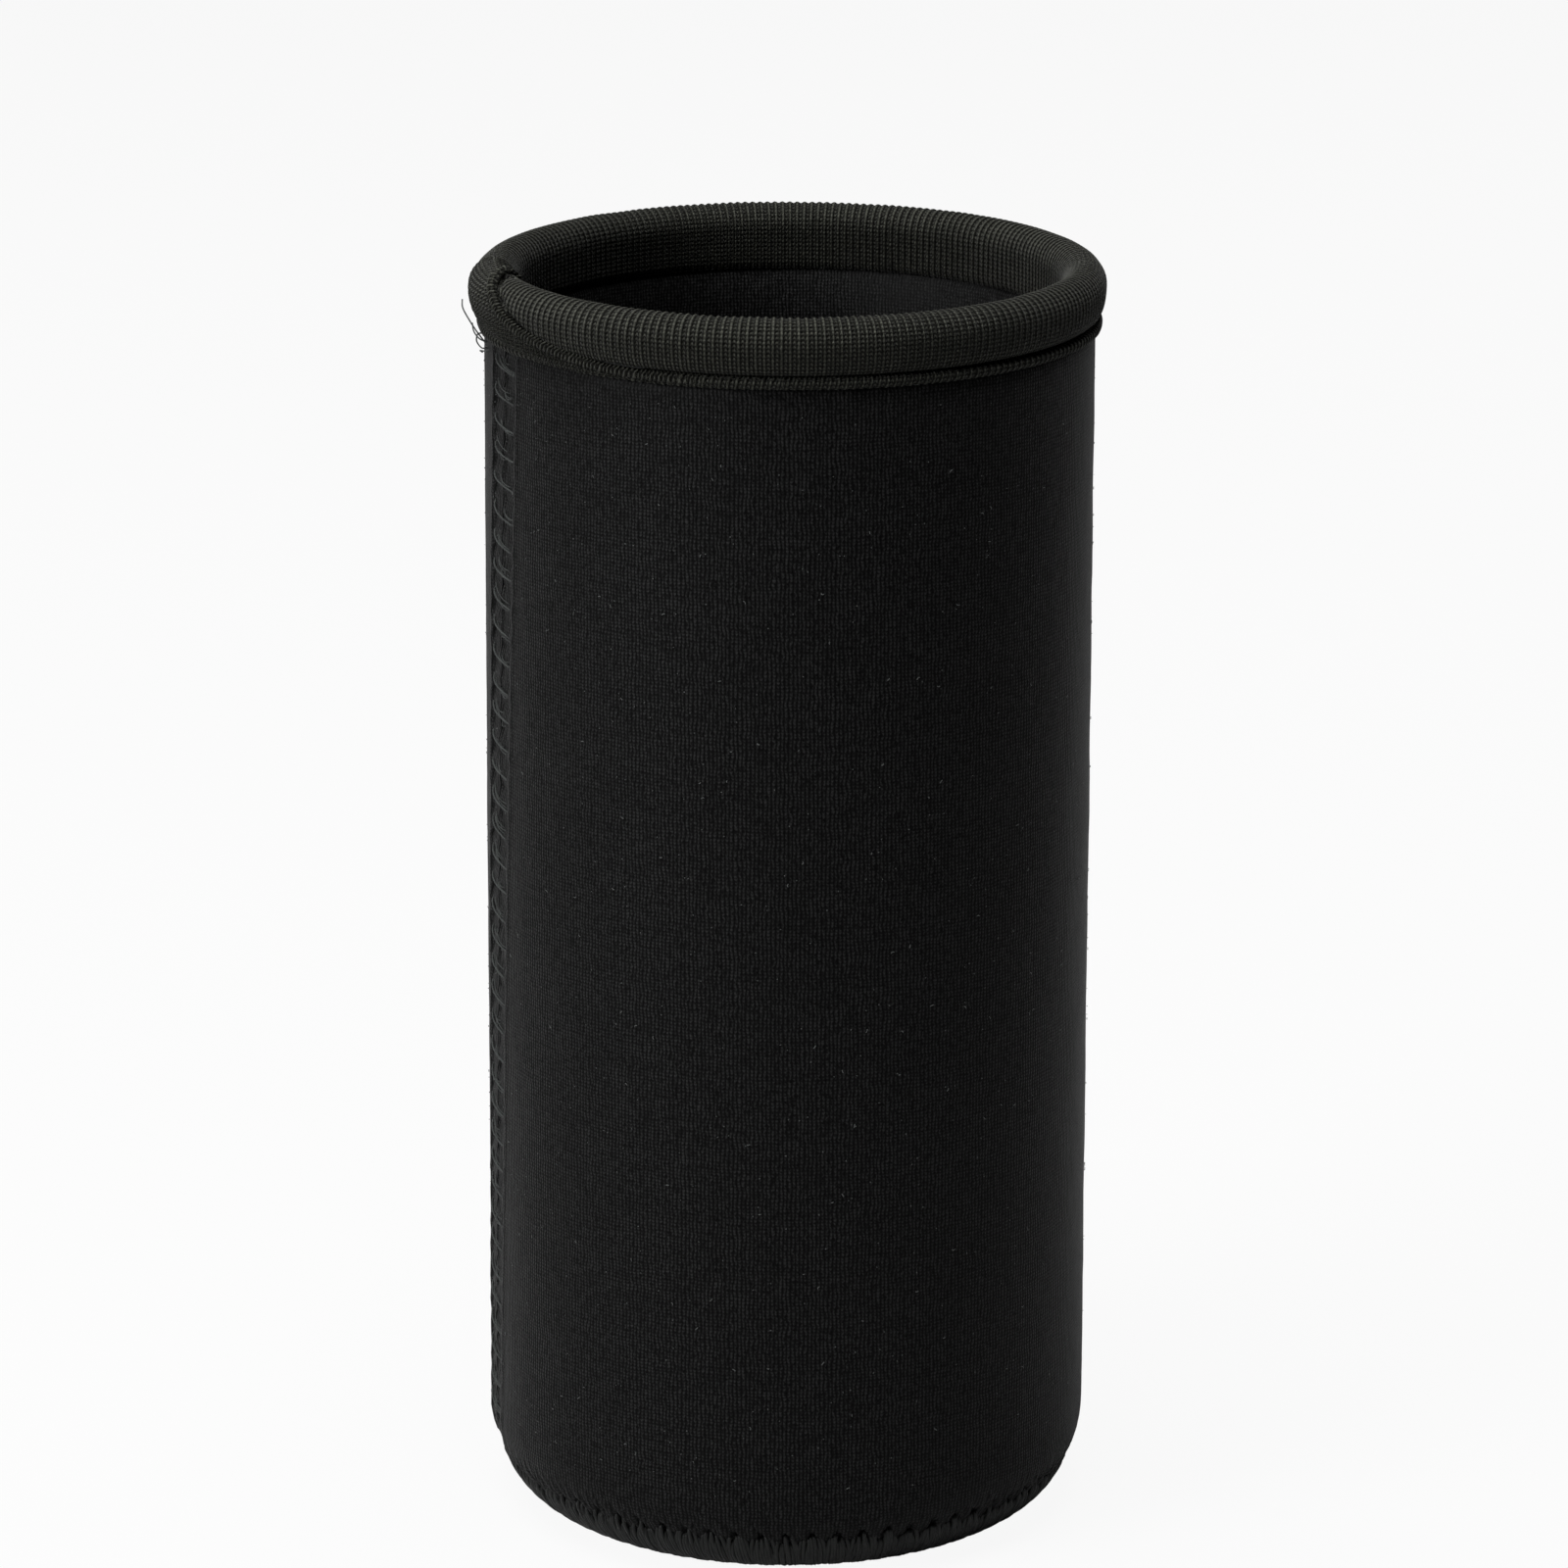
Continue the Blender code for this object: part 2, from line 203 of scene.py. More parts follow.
class Signal:
    """A shader socket. Arithmetic on it adds Math nodes to its material."""

    def __init__(self, shader, socket):
        self.shader = shader
        self.socket = socket

    __add__ = maths("ADD")
    __radd__ = maths("ADD", swapped=True)
    __sub__ = maths("SUBTRACT")
    __rsub__ = maths("SUBTRACT", swapped=True)
    __mul__ = maths("MULTIPLY")
    __rmul__ = maths("MULTIPLY", swapped=True)
    __truediv__ = maths("DIVIDE")
    __pow__ = maths("POWER")
    __abs__ = maths("ABSOLUTE")
    cos = maths("COSINE")
    sin = maths("SINE")


class Shader:
    """A node tree under construction. Its add method makes any node."""

    def __init__(self, tree):
        self.tree = tree
        self.tree.nodes.clear()

    def add(self, kind, settings=None, values=None, output=0):
        """Make a node, apply its settings, then fill its sockets by name or number."""
        node = self.tree.nodes.new(kind)
        for name, value in (settings or {}).items():
            setattr(node, name, value)
        for key, value in (values or {}).items():
            if isinstance(value, Signal):
                self.tree.links.new(value.socket, node.inputs[key])
            else:
                node.inputs[key].default_value = value
        if isinstance(output, tuple):
            return [Signal(self, node.outputs[which]) for which in output]
        return Signal(self, node.outputs[output]) if len(node.outputs) else None

    def math(self, operation, *values):
        return self.add("ShaderNodeMath", {"operation": operation}, dict(enumerate(values)))

    def place(self):
        return self.add("ShaderNodeTexCoord", output="Object")

    def axes(self, vector):
        return self.add("ShaderNodeSeparateXYZ", values={0: vector}, output=(0, 1, 2))

    def attribute(self, name):
        return self.add("ShaderNodeAttribute", {"attribute_name": name}, output="Fac")

    def grain(self, size, detail=2.0, stretch=(1, 1, 1)):
        """Noise from 0 to 1 in blotches of about the given size."""
        scaled = self.add("ShaderNodeVectorMath", {"operation": "MULTIPLY"}, {0: self.place(), 1: stretch})
        return self.add("ShaderNodeTexNoise", values={"Vector": scaled, "Scale": 1 / size, "Detail": detail})

    def between(self, low, high, factor):
        """A colour from low to high by the factor."""
        low, high = (*low, 1), (*high, 1)
        settings = {"data_type": "RGBA", "clamp_factor": True}
        return self.add("ShaderNodeMix", settings, {0: factor, 6: low, 7: high}, output=2)

    def end(self, surface):
        self.add("ShaderNodeOutputMaterial", values={"Surface": surface})


def cloth_material(name, build):
    """A cloth's material. Build gets the shader and returns colour, relief, its depth and its finish."""
    material = bpy.data.materials.new(name)
    material.use_nodes = True
    shader = Shader(material.node_tree)
    colour, relief, depth, finish = build(shader)
    bump = shader.add("ShaderNodeBump", values={"Strength": 1.0, "Distance": depth, "Height": relief})
    values = {"Base Color": colour, "Normal": bump, **finish}
    shader.end(shader.add("ShaderNodeBsdfPrincipled", values=values))
    return material


KNIT_FINISH = {
    "Roughness": 0.45, "Specular IOR Level": 0.06, "Sheen Weight": 0.05, "Sheen Roughness": 0.25,
}
TAPE_FINISH = {
    "Roughness": 0.65, "Specular IOR Level": 0.05, "Sheen Weight": 0.06, "Sheen Roughness": 0.25,
}
THREAD_FINISH = {
    "Roughness": 0.55, "Specular IOR Level": 0.3, "Sheen Weight": 0.06, "Sheen Roughness": 0.4,
}
COURSE_PITCH = 0.38 * MM
BEAD_PITCH = 0.46 * MM


def jersey_material(name, colours, wales=0, pitch=0.43 * MM):
    """Fine jersey. With a number of wales they run up the sleeve, and without one along Y."""

    def build(shader):
        x, y, z = shader.axes(shader.place())
        wobble = shader.grain(1.6 * MM, 2.0) - 0.5
        wale = shader.math("ARCTAN2", y, x) * (wales / math.tau) if wales else x / pitch
        wale = wale + wobble * 1.3
        ridge = abs((wale * math.pi).cos())
        course = (z if wales else y) / COURSE_PITCH + ridge * 0.6 + wobble
        loop = (course * math.tau).cos() * 0.5 + 0.5
        corner = {0: shader.math("FLOOR", wale), 1: shader.math("FLOOR", course)}
        cell = shader.add("ShaderNodeCombineXYZ", values=corner)
        chance = shader.add("ShaderNodeTexWhiteNoise", {"noise_dimensions": "2D"}, {"Vector": cell})
        fuzz = shader.grain(0.27 * MM, 2.0) * 2 - 0.5
        mottle = shader.grain(6 * MM, 2.0)
        # The knit pattern darkens the gaps between wales and between loops in the colour. This is painted
        # shade in the knit's hollows, with random tone from the chance per loop, the fuzz and the mottle. The
        # same pattern also gives the bump.
        knit = ridge**1.6 * (loop * 0.65 + 0.35) * (chance * 0.9 + 0.55)
        light = knit * (fuzz * 1.9 - 0.05) * (mottle * 0.3 + 0.85)
        colour = shader.between(colours.neoprene_shade, colours.neoprene, light)
        return colour, knit + fuzz * 0.4, 0.06 * MM, KNIT_FINISH

    return cloth_material(name, build)


def tape_material(colours):
    """The tape's rib knit. Its pattern follows the ribs and the distance along them, and the roll's top is
    painted lighter.
    """

    def build(shader):
        count, along = shader.attribute("rib_count"), shader.attribute("along")
        # Painted light: above 133.4 mm the roll's top grows lighter in colour over 2.2 mm, and its ribs stand
        # out more there, as if lit from above.
        crest_foot, crest_span = 133.4 * MM, 2.2 * MM
        rise = (shader.axes(shader.place())[2] - crest_foot) / crest_span
        crest = shader.math("MINIMUM", shader.math("MAXIMUM", rise, 0.0), 1.0)
        swing = (count * math.tau).cos()
        column = abs(swing) ** 1.5
        plain = swing * 0.5 + 0.5
        bead = (along * (math.tau / BEAD_PITCH) + abs((count * math.tau).sin()) * 1.8).cos() * 0.5 + 0.5
        beaded = bead + (1 - bead) * plain * (0.4 + crest * 0.2)
        tall = plain * (0.15 + crest * 0.35) + (0.85 - crest * 0.35)
        fuzz = shader.grain(0.2 * MM, 1.0) * 2 - 0.5
        mottle = shader.grain(5 * MM, 2.0)
        knit = column * tall * beaded
        # The colour is painted shade in the valleys between ribs and beads, painted light on the crest, and
        # random tone from the fuzz and the mottle.
        light = knit * (fuzz * 1.4 + 0.3) * (mottle * 0.6 + 0.7) * (crest * 0.55 + 0.68)
        colour = shader.between(colours.tape_shade, colours.tape, light)
        return colour, knit + fuzz * 0.4, 0.34 * MM, TAPE_FINISH

    return cloth_material("ribbed_knit_tape", build)


def thread_material(name, light, dark):
    """Spun thread, mottled along its fibres."""

    def build(shader):
        fibres = shader.grain(0.12 * MM, 2.0, (1, 1, 0.4))
        return shader.between(dark, light, fibres * 1.6 - 0.3), fibres, 0.04 * MM, THREAD_FINISH

    return cloth_material(name, build)


def at_angle(radius, angle, height):
    """A point round the sleeve."""
    return Vector((-radius * math.cos(angle), -radius * math.sin(angle), height))


def route_points(route, base=0.0):
    """The points of a route that is given in degrees, height over a base and radius, in mm."""
    return [at_angle(out * MM, math.radians(turn), base + rise * MM) for turn, rise, out in route]


def angle_of(point):
    """Where round the sleeve a point is, from -180 to 180 degrees."""
    return math.atan2(-point.y, -point.x)


def wrapped(angle):
    """The same angle, from -180 to 180 degrees."""
    return (angle + math.pi) % math.tau - math.pi


def spread(start, end, count):
    """Evenly spaced values from start to end."""
    return [start + (end - start) * i / (count - 1) for i in range(count)]


def smooth_step(value):
    """An eased 0 to 1 for a value that goes from 0 to 1."""
    value = max(0.0, min(1.0, value))
    return value * value * (3 - 2 * value)


def lip_foot(tape):
    """Height of the tape's lower edge."""
    return tape.rim_height - 2 * tape.roll_half_height - tape.lip_height


def roll_point(tape, sleeve, degrees, inset=0.0):
    """A (radius, height) point on the roll's outside, or inset from it. 0 degrees points outwards."""
    turn = math.radians(degrees)
    out, up, half = math.cos(turn), math.sin(turn), tape.roll_half_height
    if -90 < degrees < 0:
        out, up, half = out**0.42, -((-up) ** 0.8), half * 1.15
    radius = sleeve.well_radius + tape.roll_half_width + (tape.roll_half_width - inset) * out
    return radius, tape.rim_height - tape.roll_half_height + (half - inset) * up


def wall_radius(sleeve, tape, height):
    """Radius of the wall's outside above the foot."""
    share = (height - sleeve.foot_rise) / (lip_foot(tape) - sleeve.foot_rise)
    return sleeve.foot_radius - sleeve.flare * share


def seam_angle(sleeve, tape, height):
    """Where round the sleeve the side seam is, at a height."""
    foot = sleeve.foot_rise * 0.6
    share = (height - (foot + lip_foot(tape)) / 2) / (lip_foot(tape) - foot)
    return sleeve.seam_angle + sleeve.seam_twist * share


def foot_point(sleeve, turn, lift=0.0):
    """A (radius, height) point on the rounded foot, or lifted off it. The turn is 0 to 90 degrees."""
    turn_in = sleeve.foot_radius - DISC_HIGH[0] - 0.3 * MM
    drop = sleeve.foot_rise - sleeve.foot_lift
    across, down = math.cos(turn), math.sin(turn)
    normal = Vector((across / turn_in, -down / drop)).normalized()
    spot = Vector((sleeve.foot_radius - turn_in * (1 - across), sleeve.foot_rise - drop * down))
    return tuple(spot + lift * normal)


def bite_turn(sleeve):
    """The turn on the rounded foot at which its stitches enter the wall."""
    return math.asin((sleeve.foot_rise - sleeve.bite_height) / (sleeve.foot_rise - sleeve.foot_lift))


def turn_profile(profile, columns, start=0.0, sweep=math.tau, closed=False):
    """Spin a profile about Z, one sector at a time, because one whole spin is slow.

    The profile's points are radius, height and how much relief they take.
    """
    bm = bmesh.new()
    along = bm.verts.layers.float.new("along")
    relief = bm.verts.layers.float.new("relief")
    station = bm.verts.layers.float.new("station")
    verts, distance = [], 0.0
    for index, (radius, height, weight) in enumerate(profile):
        vert = bm.verts.new(at_angle(radius, start, height))
        if verts:
            distance += (vert.co - verts[-1].co).length
        vert[along], vert[relief], vert[station] = distance, weight, index
        verts.append(vert)
    edges = [bm.edges.new(pair) for pair in zip(verts, verts[1:])]
    if closed:
        edges.append(bm.edges.new((verts[-1], verts[0])))
    made = bmesh.ops.spin(
        bm, geom=verts + edges, cent=(0, 0, 0), axis=(0, 0, 1),
        angle=sweep / SECTORS, steps=columns // SECTORS,
    )
    sector = bm.verts[:] + bm.edges[:] + bm.faces[:]
    last = [item for item in made["geom_last"] if isinstance(item, bmesh.types.BMEdge)]
    for i in range(1, SECTORS):
        copy = bmesh.ops.duplicate(bm, geom=sector)
        turned = [item for item in copy["geom"] if isinstance(item, bmesh.types.BMVert)]
        spun = Matrix.Rotation(i * sweep / SECTORS, 3, "Z")
        bmesh.ops.rotate(bm, verts=turned, cent=(0, 0, 0), matrix=spun)
        twins = copy["edge_map"]
    ends = (edges, [twins[edge] for edge in last])
    if closed and sweep < math.tau:
        for loop in ends:
            cap = bmesh.ops.edgeloop_fill(bm, edges=loop)["faces"]
            bmesh.ops.triangulate(bm, faces=cap)
    bmesh.ops.remove_doubles(bm, verts=bm.verts, dist=MERGE)
    bmesh.ops.recalc_face_normals(bm, faces=bm.faces)
    bm.normal_update()
    return bm


def add_piece(context, name, mesh, material, slot, *nodes):
    """Show a finished mesh as a piece that rides on the root body and stands for CAD nodes."""
    obj = bpy.data.objects.new(name, mesh)
    context.scene.collection.objects.link(obj)
    mesh.materials.clear()
    mesh.materials.append(material)
    for polygon in mesh.polygons:
        polygon.use_smooth = True
    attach(obj, "root")
    if nodes:
        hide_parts(*nodes)
    return obj


def mesh_of(bm, name):
    """Close a bmesh into a mesh whose faces point outwards."""
    bmesh.ops.recalc_face_normals(bm, faces=bm.faces)
    mesh = bpy.data.meshes.new(name)
    bm.to_mesh(mesh)
    bm.free()
    return mesh


def eased(points, step):
    """Points about a step apart on a smooth line through the given points."""
    line = [points[0]]
    padded = [2 * points[0] - points[1], *points, 2 * points[-1] - points[-2]]
    for before, start, end, after in zip(padded, padded[1:], padded[2:], padded[3:]):
        count = max(2, round((end - start).length / step))
        for i in range(1, count + 1):
            t = i / count
            line.append(
                0.5 * (2 * start + (end - before) * t + (2 * before - 5 * start + 4 * end - after) * t**2
                       + (3 * start - before - 3 * end + after) * t**3)
            )
    return line


def lay_strand(curve, line):
    """Add a line of points to a curve as one spline."""
    spline = curve.splines.new("POLY")
    spline.points.add(len(line) - 1)
    for spot, point in zip(spline.points, line):
        spot.co = (*point, 1)


def lay_plies(curve, line, offset, plies, twist):
    """Wind plies round a line, each a spline of its own, once round in every twist length."""
    up = at_angle(1, angle_of(line[0]), 0)
    strands = [[] for _ in range(plies)]
    length = 0.0
    for i, point in enumerate(line):
        tangent = (line[min(i + 1, len(line) - 1)] - line[max(i - 1, 0)]).normalized()
        up = (up - tangent * up.dot(tangent)).normalized()
        side = tangent.cross(up)
        length += (point - line[i - 1]).length if i else 0.0
        for ply, strand in enumerate(strands):
            turn = math.tau * (length / twist + ply / plies)
            strand.append(point + offset * (math.cos(turn) * up + math.sin(turn) * side))
    for strand in strands:
        lay_strand(curve, strand)


def new_strands(name, radius):
    """An empty curve whose splines are round strands."""
    curve = bpy.data.curves.new(name, "CURVE")
    curve.dimensions = "3D"
    curve.bevel_depth = radius
    curve.bevel_resolution = 1
    curve.use_fill_caps = True
    return curve


def mesh_of_strands(context, *curves):
    """One mesh of all the curves' strands."""
    bm = bmesh.new()
    for curve in curves:
        obj = bpy.data.objects.new(curve.name, curve)
        context.scene.collection.objects.link(obj)
        context.view_layer.update()
        part = bpy.data.meshes.new_from_object(obj.evaluated_get(context.evaluated_depsgraph_get()))
        bm.from_mesh(part)
        bpy.data.objects.remove(obj)
        bpy.data.meshes.remove(part)
    bmesh.ops.remove_doubles(bm, verts=bm.verts, dist=MERGE)
    return mesh_of(bm, curves[0].name)


class CANCOOLER_OT_sleeve(bpy.types.Operator):
    """Make the knit-faced neoprene wall, with its side seam's press and its rounded foot."""

    bl_idname = "can_cooler.sleeve"
    bl_label = "Neoprene Sleeve"
    bl_options = {"REGISTER", "UNDO"}

    columns: count_prop("Columns", "Faces round the sleeve", 560)
    row_height: length_prop("Row Height", "Height of the wall's faces", 1.3 * MM)
    slit: length_prop("Slit", "Gap between the sheet's butted edges", 0.03 * MM)

    def execute(self, context):
        sleeve, tape = context.scene.sleeve_sizes, context.scene.tape_sizes
        gap = self.slit / sleeve.foot_radius
        bm = turn_profile(
            self.profile(sleeve, tape), self.columns, sleeve.seam_angle + gap / 2, math.tau - gap, closed=True
        )
        relief = bm.verts.layers.float["relief"]
        for vert in bm.verts:
            lean = seam_angle(sleeve, tape, vert.co.z) - sleeve.seam_angle
            vert.co.rotate(Matrix.Rotation(lean, 3, "Z"))
        bm.normal_update()
        lifts = [vert[relief] * self.lift(sleeve, tape, vert.co) for vert in bm.verts]
        for vert, lift in zip(bm.verts, lifts):
            vert.co += vert.normal * lift
        colours = context.scene.cloth_colours
        material = jersey_material("black_jersey_neoprene", colours, wales=sleeve.wales)
        mesh = mesh_of(bm, "neoprene_sleeve")
        wall = add_piece(context, "neoprene_sleeve", mesh, material, "neoprene", "wall_panel")
        return {"FINISHED"}

    def profile(self, sleeve, tape):
        """The wall's section, down its outside and up its inside, with its squeezed top in the tape."""
        lip = lip_foot(tape)
        edge = DISC_HIGH[0] + 0.2 * MM
        bite = bite_turn(sleeve)
        rows = [(29.9 * MM, lip + 5.0 * MM), (31.6 * MM, lip + 5.0 * MM), (32.0 * MM, lip + 4.0 * MM)]
        rows += [(31.1 * MM, lip + 2.3 * MM), (31.15 * MM, lip + 0.9 * MM)]
        rows.append((31.75 * MM, lip + 0.15 * MM))
        count = round((lip - sleeve.foot_rise) / self.row_height)
        rows += [(wall_radius(sleeve, tape, z), z) for z in spread(lip - 0.5 * MM, sleeve.foot_rise, count)]
        rows += [foot_point(sleeve, bite * share) for share in (0.2, 0.4, 0.6, 0.8, 0.92, 1)]
        pressed = [(0.06, 0.5), (0.14, 1), (0.26, 1), (0.38, 1), (0.5, 1), (0.62, 1), (0.74, 1), (0.86, 1)]
        for share, press in pressed:
            rows.append(foot_point(sleeve, bite + (QUARTER - bite) * share, -press * sleeve.stitch_press))
        outside = [(radius, z, 1.0) for radius, z in rows]
        under = [(edge, sleeve.foot_lift + sleeve.stitch_press, 0.0), (edge, DISC_HIGH[2] * 0.6, 0.0)]
        inner = sleeve.well_radius + sleeve.flare
        for turn in spread(0, QUARTER, 7):
            rise = (sleeve.foot_rise - DISC_HIGH[2]) * (1 - math.cos(turn))
            under.append((edge + (inner - edge) * math.sin(turn), DISC_HIGH[2] + rise, 0.0))
        for share in spread(0.08, 1, 14):
            z = sleeve.foot_rise + (lip - 0.6 * MM - sleeve.foot_rise) * share
            under.append((inner - sleeve.flare * share, z, 0.3))
        under += [(29.2 * MM, lip + 0.2 * MM, 0.0), (29.3 * MM, lip + 3.0 * MM, 0.0)]
        return outside + under

    def lift(self, sleeve, tape, point):
        """How far the cloth stands out at a point: waviness, the side seam and the foot's puckers."""
        wave = 0.07 * MM * noise.noise(point / (9 * MM)) + 0.03 * MM * noise.noise(point / (2.2 * MM))
        angle = angle_of(point)
        if point.z > lip_foot(tape):
            return 0.0
        if point.z < sleeve.foot_rise:
            wave += self.foot_pucker(sleeve, point, angle)
        across = wrapped(angle - seam_angle(sleeve, tape, point.z)) * sleeve.foot_radius
        if abs(across) > 2.5 * sleeve.seam_half_width or point.z < sleeve.bite_height:
            return wave
        return wave + self.seam_press(sleeve, tape, across, point.z)

    def seam_press(self, sleeve, tape, across, height):
        """The side seam: a stitched strip pressed in between two raised lines, puckered by each stitch."""
        half = sleeve.seam_half_width
        slanted = height + across / half * sleeve.stitch_slant / 2
        beat = math.cos(math.tau * (lip_foot(tape) - slanted) / sleeve.stitch_pitch)
        inside = 1 - smooth_step((abs(across) - half) / (0.5 * MM))
        line = math.exp(-(((abs(across) - half - 0.55 * MM) / (0.45 * MM)) ** 2))
        joint = math.exp(-((across / (0.5 * MM)) ** 2))
        fan = 0.09 * MM * noise.noise(Vector((across / (0.45 * MM), slanted / (0.8 * MM), 7)))
        press = inside * (-sleeve.stitch_press - 0.16 * MM * beat + fan) - 0.02 * MM * joint
        return press + line * (0.12 * MM - 0.05 * MM * beat)

    def foot_pucker(self, sleeve, point, angle):
        """The foot's stitches pinch the cloth between them."""
        depth = smooth_step((sleeve.bite_height + 1.4 * MM - point.z) / (2 * MM))
        stitch = 0.5 + 0.5 * math.cos(angle * sleeve.foot_stitches)
        strand = 0.5 + 0.5 * math.cos(angle * sleeve.foot_stitches * 3)
        pit = math.exp(-(((point.z - sleeve.bite_height + 0.35 * MM) / (0.85 * MM)) ** 2)) * stitch**3
        rise = (point.z - sleeve.bite_height) / MM
        wander = 3 * noise.noise(point / (3 * MM))
        slit = 0.5 + 0.5 * math.cos((angle + 0.012 * rise) * sleeve.foot_stitches * 2 + wander)
        crease = 0.28 * MM * slit**4 * math.exp(-(((rise - 0.6) / 1.3) ** 2))
        return depth * (-0.06 * MM * strand - 0.16 * MM) - 0.52 * MM * pit - crease


class CANCOOLER_OT_base(bpy.types.Operator):
    """Make the round neoprene base that is sewn into the foot."""

    bl_idname = "can_cooler.base"
    bl_label = "Base Disc"
    bl_options = {"REGISTER", "UNDO"}

    columns: count_prop("Columns", "Faces round the disc", 280)

    def execute(self, context):
        sleeve = context.scene.sleeve_sizes
        edge, top = DISC_HIGH[0] + 0.1 * MM, DISC_HIGH[2]
        seat = DISC_HIGH[0] - 2.4 * MM
        pressed = sleeve.foot_lift + sleeve.stitch_press
        rows = [(0, top, 0)]
        rows += [(edge * share, top, 1) for share in (0.12, 0.3, 0.5, 0.7, 0.85, 0.93)]
        rows += [(edge - 0.5 * MM, top - 0.05 * MM, 1), (edge, top - 0.5 * MM, 0)]
        rows.append((edge, pressed + 0.3 * MM, 0))
        rows += [(edge - 0.3 * MM, pressed, 0), (seat + 0.9 * MM, pressed, 0), (seat, 0.2 * MM, 0)]
        rows += [(seat - 0.8 * MM, 0, 0), (seat * 0.6, 0, 0), (0, 0, 0)]
        bm = turn_profile(rows, self.columns)
        bmesh.ops.remove_doubles(bm, verts=bm.verts, dist=MERGE)
        relief = bm.verts.layers.float["relief"]
        for vert in bm.verts:
            vert.co.z += 0.08 * MM * vert[relief] * noise.noise(vert.co / (8 * MM))
        material = jersey_material("black_jersey_base", context.scene.cloth_colours)
        base = add_piece(context, "base_panel", mesh_of(bm, "base_panel"), material, "neoprene", "base_disc")
        return {"FINISHED"}


def count_ribs(bm, tape, slant=None):
    """Number the tape's ribs round the rim, for its material and its relief."""
    ribs = bm.verts.layers.float.new("rib_count")
    for vert in bm.verts:
        lean = slant(vert) if slant else 0.0
        vert[ribs] = (angle_of(vert.co) % math.tau) / math.tau * tape.ribs + lean
    return ribs


def raise_ribs(bm, tape, ribs, rumple=0.06 * MM):
    """Lift every rib off the tape by its depth, as far as the tape takes relief there."""
    relief = bm.verts.layers.float["relief"]
    bm.normal_update()
    lifts = []
    for vert in bm.verts:
        wave = rumple * noise.noise(vert.co / (4 * MM))
        ridge = 0.5 + 0.5 * math.cos(math.tau * vert[ribs])
        lifts.append(vert[relief] * (tape.rib_depth * ridge + wave))
    for vert, lift in zip(bm.verts, lifts):
        vert.co += vert.normal * lift


class CANCOOLER_OT_tape(bpy.types.Operator):
    """Make the ribbed knit tape that is folded over the rim."""

    bl_idname = "can_cooler.tape"
    bl_label = "Rim Tape"
    bl_options = {"REGISTER", "UNDO"}

    columns_per_rib: count_prop("Columns Per Rib", "Faces across a rib", 6)
    rope_slant: bpy.props.FloatProperty(
        name="Rope Slant", description="Ribs that the lip's knit leans over in its height", default=0.6,
    )

    def execute(self, context):
        sleeve, tape = context.scene.sleeve_sizes, context.scene.tape_sizes
        profile, lip_rows = self.profile(sleeve, tape)
        bm = turn_profile(profile, self.columns_per_rib * tape.ribs, closed=True)
        station = bm.verts.layers.float["station"]
        ribs = count_ribs(bm, tape, lambda vert: self.lean(vert[station], lip_rows))
        raise_ribs(bm, tape, ribs)
        self.press_hollow(bm, tape)
        material = tape_material(context.scene.cloth_colours)
        piece = add_piece(context, "rim_tape", mesh_of(bm, "rim_tape"), material, "knit_tape", "rim_binding")
        return {"FINISHED"}

    def press_hollow(self, bm, tape):
        """Sink the tape where it goes under its lapped end's free edge."""
        depth, beside, width, inner = 0.75 * MM, 0.7 * MM, 0.8 * MM, 30 * MM
        roll_foot, roll_fade = 130.9 * MM, 1.2 * MM
        for vert in bm.verts:
            radius, angle = vert.co.xy.length, angle_of(vert.co)
            if not 0 < angle < math.radians(FREE_EDGE_FOOT) or radius < inner:
                continue
            gap = (angle - free_edge_angle(vert.co.z)) * radius
            if abs(gap) < 3 * MM:
                sunk = depth * math.exp(-(((gap - beside) / width) ** 2))
                vert.co -= vert.normal * sunk * smooth_step((vert.co.z - roll_foot) / roll_fade)

    def lean(self, station, lip_rows):
        """How far the lip's ribs lean at a point of the section, in ribs."""
        return self.rope_slant * max(0.0, 1 - station / lip_rows)

    def profile(self, sleeve, tape):
        """The tape's section: lip, groove, roll and inner leg, then back up its hidden side."""
        lip, groove, well = lip_foot(tape), GROOVE_RADIUS, sleeve.well_radius
        bulge = ((-1.1, 0.45, 0), (-0.8, 0.12, 0), (-0.5, 0.03, 0.3), (-0.25, 0.08, 0.6), (-0.1, 0.22, 0.8))
        bulge += ((-0.02, 0.42, 0.8), (0, 0.62, 1), (-0.05, 0.82, 1), (-0.17, 0.96, 1))
        bulge += ((-0.38, 1.03, 1), (-0.7, 1.06, 0.7))
        rope = [(tape.lip_radius + out * MM, lip + up * MM, weight) for out, up, weight in bulge]
        rope += [(groove, lip + 1.1 * MM, 0.2), (groove, lip + 1.4 * MM, 0.2)]
        around = spread(-80, 176, 32)
        roll = [(*roll_point(tape, sleeve, angle), smooth_step((angle + 60) / 90)) for angle in around]
        leg = [(well, roll[-1][1] - drop * MM, 1) for drop in (0.9, 1.8, 2.7, 3.6)]
        leg += [(well + 0.1 * MM, lip + 0.1 * MM, 0.5), (well + 0.35 * MM, lip, 0)]
        hidden = [(well + 0.4 * MM, roll[-1][1] - 2.7 * MM, 0)]
        hidden += [(*roll_point(tape, sleeve, angle, 0.4 * MM), 0) for angle in (176, 130, 90, 50, 10, -30)]
        hidden += [(groove - 0.12 * MM, lip + 1.3 * MM, 0)]
        return rope + roll + leg + hidden, len(rope)


